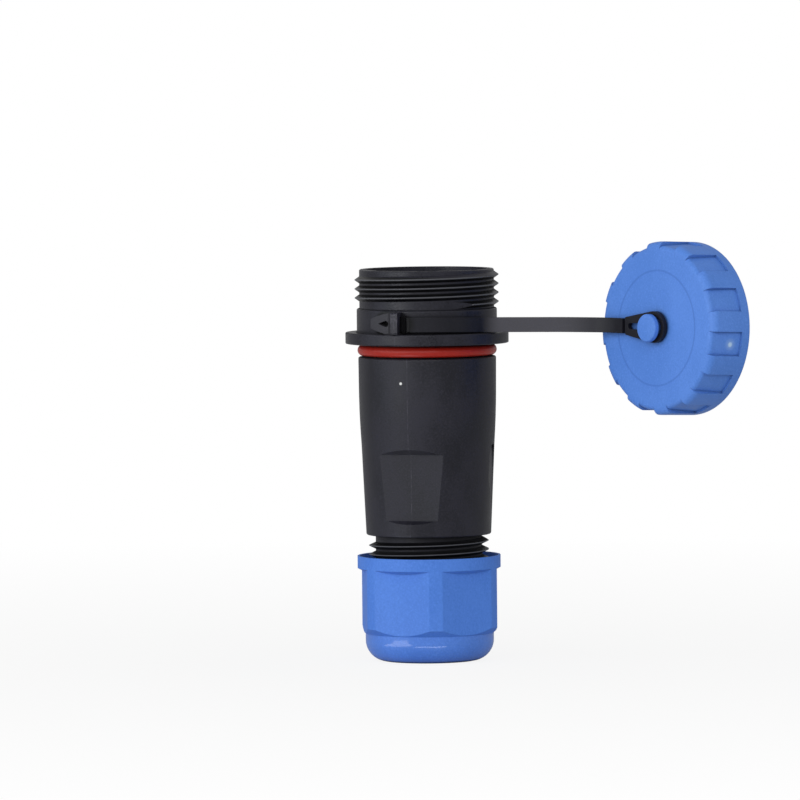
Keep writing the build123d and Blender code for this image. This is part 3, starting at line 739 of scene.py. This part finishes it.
class RECEPTACLE_OT_cap(Operator):
    """Models the dust cap: grip recesses round its side, a knob on its face and a thread inside"""

    bl_idname = "receptacle.cap"
    bl_label = "Dust Cap"

    def execute(self, context):
        sizes = context.scene.receptacle_cap
        cap = turned("dust_cap_moulding", self.outline(sizes))
        combine(cap, self.recesses(sizes), "DIFFERENCE")
        cap = join([cap, self.thread(sizes)])
        smooth(cap)
        place = cap_place(sizes)
        settle(cap, place)
        finish_piece(cap, self.finish(sizes, place), "dust_cap", ["dust_cap"])
        return {"FINISHED"}

    def outline(self, sizes):
        """The knob, the face with rings that keep it flat, the side, and the bore's chamfer."""
        neck, knob_round, chamfer, floor = 1.45, 0.3, 0.25, -1.0
        knob = arc((sizes.knob - knob_round, sizes.knob_height - knob_round), knob_round, 90, 0, 4)
        under = sizes.knob_height - 0.85
        rings = [(2.2, 0), (sizes.radius - 3.2, 0), (sizes.radius - 2.0, 0)]
        side = arc((sizes.radius - sizes.edge, -sizes.edge), sizes.edge, 90, 0, 8)
        return ([(0, sizes.knob_height)] + knob + [(sizes.knob, under), (neck, under), (neck, 0)]
                + rings + side
                + [(sizes.radius, -sizes.depth), (sizes.bore + chamfer, -sizes.depth),
                   (sizes.bore, chamfer - sizes.depth), (sizes.bore, floor), (0, floor)])

    def floors(self, sizes):
        """The cone that the recesses stop at, rounded over at the face."""
        low = sizes.radius - sizes.grip_depth
        high = low + sizes.grip_rise
        below = -12
        edge = arc((low - sizes.grip_edge, -sizes.grip_edge), sizes.grip_edge, 90, 4, 8)
        return turned("floors", [(0, 0)] + edge + [
            (high, sizes.band - sizes.depth), (high, below), (0, below)])

    def recesses(self, sizes):
        """One drafted block, set round the cap, less the cone that it stops at."""
        clear_selection()
        proud, sunk, thick = 1.0, 0.5, 3.0
        length = proud + sizes.depth - sizes.band
        bpy.ops.mesh.primitive_cube_add(size=1.0)
        block = new_piece("recess")
        block.scale = (thick, sizes.grip_width, length)
        bpy.ops.object.transform_apply(scale=True)
        edit(block)
        bpy.ops.mesh.select_all(action="DESELECT")
        bpy.ops.object.mode_set(mode="OBJECT")
        for face in block.data.polygons:
            face.select = face.normal.x < -0.9
        bpy.ops.object.mode_set(mode="EDIT")
        bpy.ops.mesh.select_mode(type="FACE")
        bpy.ops.transform.resize(value=(1, 0.84, 0.97), center_override=(0, 0, length / 2))
        bpy.ops.object.mode_set(mode="OBJECT")
        block.location = (sizes.radius - sunk, 0, proud - length / 2)
        bpy.ops.object.transform_apply(location=True)
        blocks = [block]
        for _ in range(sizes.grips - 1):
            other = bpy.data.objects.new("recess", block.data.copy())
            bpy.context.scene.collection.objects.link(other)
            blocks.append(other)
        for number, other in enumerate(blocks):
            turn = number * math.tau / sizes.grips - sizes.grip_phase
            other.data.transform(Matrix.Rotation(turn, 4, "Z"))
        return combine(join(blocks), self.floors(sizes), "DIFFERENCE")

    def thread(self, sizes):
        """The ridge of the inner thread, swept up the bore by a screw."""
        clear_selection()
        bpy.ops.mesh.primitive_circle_add(vertices=3, radius=1.0)
        ridge = new_piece("inner_thread")
        start, turns, rise = -6.6, 3, 4.4
        root, crest, half = sizes.bore + 0.2, sizes.bore - 0.6, 0.62
        corners = ((root, -half), (root, half), (crest, 0.0))
        for vertex, (radius, height) in zip(ridge.data.vertices, corners):
            vertex.co = (radius, 0, height + start)
        screw = ridge.modifiers.new("Thread", "SCREW")
        screw.angle = math.tau * turns
        screw.screw_offset = rise
        screw.steps = screw.render_steps = 72 * turns
        apply_modifiers(ridge)
        edit(ridge)
        bpy.ops.mesh.select_all(action="DESELECT")
        bpy.ops.mesh.select_mode(type="EDGE")
        bpy.ops.mesh.select_non_manifold()
        bpy.ops.mesh.edge_face_add()
        bpy.ops.mesh.select_all(action="SELECT")
        bpy.ops.mesh.normals_make_consistent(inside=False)
        bpy.ops.object.mode_set(mode="OBJECT")
        return ridge

    def finish(self, sizes, place):
        """The cap's blue, with a faint ring on the face and the pale mark of the gate."""
        # A long reach of painted shade darkens the recesses and the face round the strap
        material = moulded_material(
            "blue_cap", colours().cap, colours().cap_pale, 0.45, edge_radius=0.2, edge_pale=0.1,
            grain_size=3400.0, depth=0.5, fleck=0.1, flow_size=120.0, shade_reach=2.2,
            shade_strength=0.62)
        tree = material.node_tree
        centred = put(tree, "ShaderNodeMapping", Location=tuple(-v for v in place.translation))
        tree.links.new(object_place(tree), centred.inputs["Vector"])
        length = tree.nodes.new("ShaderNodeVectorMath")
        length.operation = "LENGTH"
        tree.links.new(centred.outputs[0], length.inputs[0])
        off = maths(tree, "SUBTRACT", length.outputs["Value"], sizes.ring * MM)
        ring = ranged(tree, maths(tree, "ABSOLUTE", off), 0.26 * MM, 0.06 * MM, 0.0, 0.4)
        gate = (place @ (Vector(sizes.gate) * MM)) / MM
        halo = maths(tree, "MULTIPLY", near_mask(tree, gate, outer=1.3, inner=0.4), 0.22)
        spot = maths(tree, "MULTIPLY", near_mask(tree, gate, outer=0.62, inner=0.35), 0.6)
        tinge(material, ring, FACE_RING)
        tinge(material, maths(tree, "ADD", halo, spot), GATE_MARK)
        return material


class RECEPTACLE_OT_strap(Operator):
    """Models the strap flat, then bends it round the collar and out to the cap"""

    bl_idname = "receptacle.strap"
    bl_label = "Strap"

    def execute(self, context):
        sizes = context.scene.receptacle_strap
        strap = self.band(sizes)
        for part in (self.shoulder(sizes), self.tail(sizes), self.head(sizes)):
            combine(strap, part, "UNION")
        self.divide(strap, sizes)
        self.bend(strap, sizes)
        smooth(strap)
        settle(strap)
        finish_piece(strap, self.finish(), nodes=["cap_tether"])
        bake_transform(strap)
        return {"FINISHED"}

    def band(self, sizes):
        clear_selection()
        bpy.ops.mesh.primitive_cube_add(size=1.0)
        band = new_piece("cap_strap")
        band.scale = (sizes.length + 0.6, sizes.thickness, sizes.width)
        band.location = (sizes.length / 2, 0, 0)
        bpy.ops.object.transform_apply(location=True, scale=True)
        return band

    def disc(self, radius, thickness, place, vertices=48):
        """A round plate in the strap's plane, placed along it, up it and back from it."""
        clear_selection()
        along, up, back = place
        bpy.ops.mesh.primitive_cylinder_add(
            vertices=vertices, radius=radius, depth=thickness, location=(along, back, up),
            rotation=(math.radians(90), 0, 0))
        return bpy.context.active_object

    def shoulder(self, sizes):
        """The step beyond the lug, which tapers down to the strap."""
        thick = sizes.thickness + 0.1
        corner = 0.2
        corners = ((2.0, 1.35), (3.1, sizes.width / 2 - 0.25))
        return hull("shoulder", [
            self.disc(corner, thick, (along, side * height, 0))
            for along, height in corners for side in (1, -1)])

    def tail(self, sizes):
        """The barbed end: an arrow with a drop-shaped hole."""
        thick = sizes.thickness + 0.1
        corner, up, through = 0.2, 0.15, 4
        corners = ((0.0, 1.6), (-1.0, 1.5), (-2.7, 1.0), (-3.75, 0.65))
        barb = hull("tail", [
            self.disc(corner, thick, (along, side * height + up, -0.05))
            for along, height in corners for side in (1, -1)])
        drop = hull("drop", [
            self.disc(0.5, through, (-0.85, up, 0)), self.disc(0.08, through, (-2.1, up, 0))])
        return combine(barb, drop, "DIFFERENCE")

    def head(self, sizes):
        """The eye, with a drop-shaped opening that narrows towards the strap."""
        knob = sizes.length + sizes.reach
        back, corner, through = 0.12, 0.4, 4
        eye = (knob + sizes.eye_shift, 0, back)
        thick = sizes.eye_thickness
        side = sizes.head_width / 2 - corner
        plate = hull("head", [
            self.disc(sizes.eye, thick, eye, 72),
            self.disc(corner, thick, (knob - 6.35, side, back)),
            self.disc(corner, thick, (knob - 6.35, -side, back)),
        ])
        slot = hull("slot", [
            self.disc(0.5, through, (knob - 5.45, 0, 0)),
            self.disc(0.62, through, (knob - 1.2, 0, 0))])
        combine(plate, slot, "DIFFERENCE")
        return combine(plate, self.disc(sizes.hole, through, eye, 72), "DIFFERENCE")

    def divide(self, strap, sizes):
        """Cross cuts that let the strap bend smoothly, and a dip in its face beside the lug."""
        edit(strap)
        place, step = -4.0, 0.4
        while place < sizes.length:
            bpy.ops.mesh.select_all(action="SELECT")
            bpy.ops.mesh.bisect(plane_co=(place, 0, 0), plane_no=(1, 0, 0))
            place += step
        bpy.ops.object.mode_set(mode="OBJECT")
        middle, reach = 1.3, 1.5
        for vertex in strap.data.vertices:
            beside = min(max(1 - abs(vertex.co.x - middle) / reach, 0) * 3, 1)
            if vertex.co.y < 0:
                vertex.co.y += sizes.dip * beside

    def bend(self, strap, sizes):
        """Lays the strap along its path with a Curve modifier."""
        path = bpy.data.curves.new("strap_path", "CURVE")
        path.dimensions = "3D"
        path.twist_mode = "Z_UP"
        places = self.path_points(sizes)
        spline = path.splines.new("POLY")
        spline.points.add(len(places) - 1)
        for point, place in zip(spline.points, places):
            point.co = (*place, 1.0)
        holder = bpy.data.objects.new("strap_path", path)
        bpy.context.scene.collection.objects.link(holder)
        make_active(strap)
        strap.location.x = sizes.lead
        bpy.ops.object.transform_apply(location=True)
        follow = strap.modifiers.new("Follow", "CURVE")
        follow.object = holder
        follow.deform_axis = "POS_X"
        apply_modifiers(strap)
        bpy.data.objects.remove(holder)

    def finish(self):
        """Black with a painted highlight from collar to cap, paler at the tail, painted shade by
        the lug.
        """
        material = moulded_material(
            "strap_moulding", colours().strap, colours().strap_pale, 0.4, edge_radius=0.12,
            fleck=0.2, flow_size=400.0, specular=0.2, scuff=LUG_TOP)
        tree = material.node_tree
        along = object_parts(tree)["X"]
        # Painted highlight along the run between the collar and the cap
        run = maths(tree, "MULTIPLY", ranged(tree, along, 8.5 * MM, 12.5 * MM),
                    ranged(tree, along, 31 * MM, 20.5 * MM))
        tail = ranged(tree, along, -5 * MM, -6 * MM, 0.0, 0.45)
        tinge(material, maths(tree, "ADD", run, tail), colours().strap_run_highlight)
        # Painted shade on the strap beside the lug
        patch(material, LUG_SHADE, SHADE, outer=2.6, inner=1.5, strength=0.9)
        return material

    def path_points(self, sizes):
        """Points along arcs and runs, dropping a little beyond the collar."""
        azimuth = sizes.wrap_start - sizes.lead / sizes.collar
        place = Vector((sizes.collar * math.sin(azimuth), -sizes.collar * math.cos(azimuth)))
        heading = azimuth
        points, travelled = [], -sizes.lead
        for length, radius in STRAP_ROUTE:
            count = max(1, round(length / STRAP_STEP))
            for _ in range(count):
                points.append((place.x, place.y, sizes.height - strap_drop(travelled, sizes)))
                turn = length / count / radius if radius else 0.0
                heading += turn / 2
                place += Vector((math.cos(heading), math.sin(heading))) * (length / count)
                heading += turn / 2
                travelled += length / count
        points.append((place.x, place.y, sizes.height - strap_drop(travelled, sizes)))
        return points


def strap_drop(travelled, sizes):
    """How far the strap hangs below its height on the collar, in millimetres."""
    off_collar, clear = 6, 20
    leaving = min(max((travelled - off_collar) / (clear - off_collar), 0), 1)
    hanging = min(max((travelled - clear) / (sizes.length - clear), 0), 1)
    eased = leaving * leaving * (3 - 2 * leaving)
    return STRAP_SLACK * eased + (sizes.drop - STRAP_SLACK) * hanging


def area_lamp(name, place, size, watts, colour):
    """A rectangular lamp, which its caller turns."""
    lamp = bpy.data.lights.new(name, "AREA")
    lamp.shape = "RECTANGLE"
    lamp.size, lamp.size_y = size
    lamp.energy = watts
    lamp.color = colour
    holder = bpy.data.objects.new(name, lamp)
    bpy.context.scene.collection.objects.link(holder)
    holder.location = place
    return holder


def seen_by_camera(tree, output, share, lit, seen):
    """Shows the camera one shader, in part or whole, while the light meets the other."""
    mix = tree.nodes.new("ShaderNodeMixShader")
    tree.links.new(share, mix.inputs["Fac"])
    tree.links.new(lit.outputs[0], mix.inputs[1])
    tree.links.new(seen.outputs[0], mix.inputs[2])
    tree.links.new(mix.outputs[0], output.inputs["Surface"])


class RECEPTACLE_OT_stage(Operator):
    """Adds the floor, the lamps and the camera"""

    bl_idname = "receptacle.stage"
    bl_label = "Stage"

    def execute(self, context):
        scene = context.scene
        scene.view_settings.view_transform = "Standard"
        stage = scene.receptacle_stage
        self.add_floor()
        self.add_world(scene)
        self.add_lamps()
        self.add_camera(scene, stage)
        return {"FINISHED"}

    def add_floor(self):
        """A matt floor that keeps the object's shadow and fades to white away from it."""
        bpy.ops.mesh.primitive_plane_add(size=8.0, location=(0, 0, 0))
        floor = bpy.context.active_object
        floor.name = "floor"
        material, tree, shader = new_material("floor_white")
        shader.inputs["Base Color"].default_value = (0.72, 0.72, 0.72, 1)
        shader.inputs["Roughness"].default_value = 0.9
        shader.inputs["Specular IOR Level"].default_value = 0.1
        white = put(tree, "ShaderNodeEmission", Strength=1.0)
        rays = tree.nodes.new("ShaderNodeLightPath")
        away = tree.nodes.new("ShaderNodeVectorMath")
        away.operation = "LENGTH"
        tree.links.new(object_place(tree), away.inputs[0])
        fade = put(tree, "ShaderNodeMapRange", From_Min=0.03, From_Max=0.3, To_Min=0.88)
        tree.links.new(away.outputs["Value"], fade.inputs["Value"])
        share = maths(tree, "MULTIPLY", rays.outputs["Is Camera Ray"], fade.outputs[0])
        seen_by_camera(tree, tree.nodes["Material Output"], share, shader, white)
        floor.data.materials.append(material)

    def add_world(self, scene):
        """White to the camera and a plain soft light to the object."""
        world = bpy.data.worlds.new("studio")
        world.use_nodes = True
        tree = world.node_tree
        tree.nodes.clear()
        output = tree.nodes.new("ShaderNodeOutputWorld")
        light = put(tree, "ShaderNodeBackground", Color=(1, 1, 1, 1), Strength=0.427)
        seen = put(tree, "ShaderNodeBackground", Color=(1, 1, 1, 1), Strength=1.0)
        rays = tree.nodes.new("ShaderNodeLightPath")
        seen_by_camera(tree, output, rays.outputs["Is Camera Ray"], light, seen)
        scene.world = world

    def add_lamps(self):
        """Soft lamps in front, cooler at the sides, and the two gleams on the nut."""
        middle = Vector((0.01, 0, 0.035))
        for name, azimuth, height, size, watts in LAMPS:
            turn, lift = math.radians(azimuth), math.radians(height)
            away = Vector((math.sin(turn) * math.cos(lift), -math.cos(turn) * math.cos(lift),
                           math.sin(lift)))
            place = middle + away * LAMP_REACH
            colour = COOL_WHITE if abs(azimuth) > SIDE_AZIMUTH else (1, 1, 1)
            holder = area_lamp(name, place, size, watts, colour)
            holder.rotation_euler = (middle - place).to_track_quat("-Z", "Y").to_euler()
        self.add_gleam("window", azimuth=-47, away=0.031, size=(0.017, 0.026), strength=4.0)
        self.add_gleam("strip", azimuth=1, away=0.0172, size=(0.012, 0.0026), strength=5.5)

    def add_gleam(self, name, azimuth, away, size, strength):
        """A bright patch lying on the floor, seen only as a reflection in the nut's glossy end."""
        turn = math.radians(azimuth)
        place = Vector((away * math.sin(turn), -away * math.cos(turn), 0.3 * MM))
        watts = math.pi * size[0] * size[1] * strength
        holder = area_lamp(name, place, size, watts, WINDOW_WHITE)
        holder.rotation_euler = (math.pi, 0, turn)
        holder.visible_camera = False
        holder.visible_diffuse = False
        holder.visible_transmission = False

    def add_camera(self, scene, stage):
        """Takes in the frame's width at the receptacle, from the stage's height and distance."""
        target = Vector((-0.0046, 0, 0.0435))
        data = bpy.data.cameras.new("camera")
        data.sensor_width = 36.0
        data.lens = data.sensor_width * stage.distance / stage.frame_width
        data.clip_start = 0.1
        camera = bpy.data.objects.new("camera", data)
        scene.collection.objects.link(camera)
        away = Vector((0, -math.cos(stage.elevation), math.sin(stage.elevation)))
        camera.location = target + away * stage.distance
        look = (-away).to_track_quat("-Z", "Y").to_matrix().to_4x4()
        camera.rotation_euler = (look @ Matrix.Rotation(-stage.roll, 4, "Z")).to_euler()
        scene.camera = camera


class RECEPTACLE_PT_panel(Panel):
    """Lists the receptacle's operators"""

    bl_label = "Receptacle"
    bl_idname = "RECEPTACLE_PT_panel"
    bl_space_type = "VIEW_3D"
    bl_region_type = "UI"
    bl_category = "Receptacle"

    def draw(self, context):
        for operator in OPERATORS:
            self.layout.operator(operator.bl_idname)


OPERATORS = (
    RECEPTACLE_OT_stage,
    RECEPTACLE_OT_shells,
    RECEPTACLE_OT_inside,
    RECEPTACLE_OT_nut,
    RECEPTACLE_OT_cap,
    RECEPTACLE_OT_strap,
)
SETTINGS = {
    "receptacle_colours": ReceptacleColours,
    "receptacle_nut": ReceptacleNut,
    "receptacle_cap": ReceptacleCap,
    "receptacle_strap": ReceptacleStrap,
    "receptacle_stage": ReceptacleStage,
}
CLASSES = tuple(SETTINGS.values()) + (RECEPTACLE_PT_panel,) + OPERATORS


def register():
    for cls in CLASSES:
        bpy.utils.register_class(cls)
    for name, group in SETTINGS.items():
        setattr(bpy.types.Scene, name, PointerProperty(type=group))


def unregister():
    for name in SETTINGS:
        delattr(bpy.types.Scene, name)
    for cls in reversed(CLASSES):
        bpy.utils.unregister_class(cls)


def main():
    register()
    bpy.ops.receptacle.stage()
    bpy.ops.receptacle.shells()
    bpy.ops.receptacle.inside()
    bpy.ops.receptacle.nut()
    bpy.ops.receptacle.cap()
    bpy.ops.receptacle.strap()


if __name__ == "__main__":
    main()
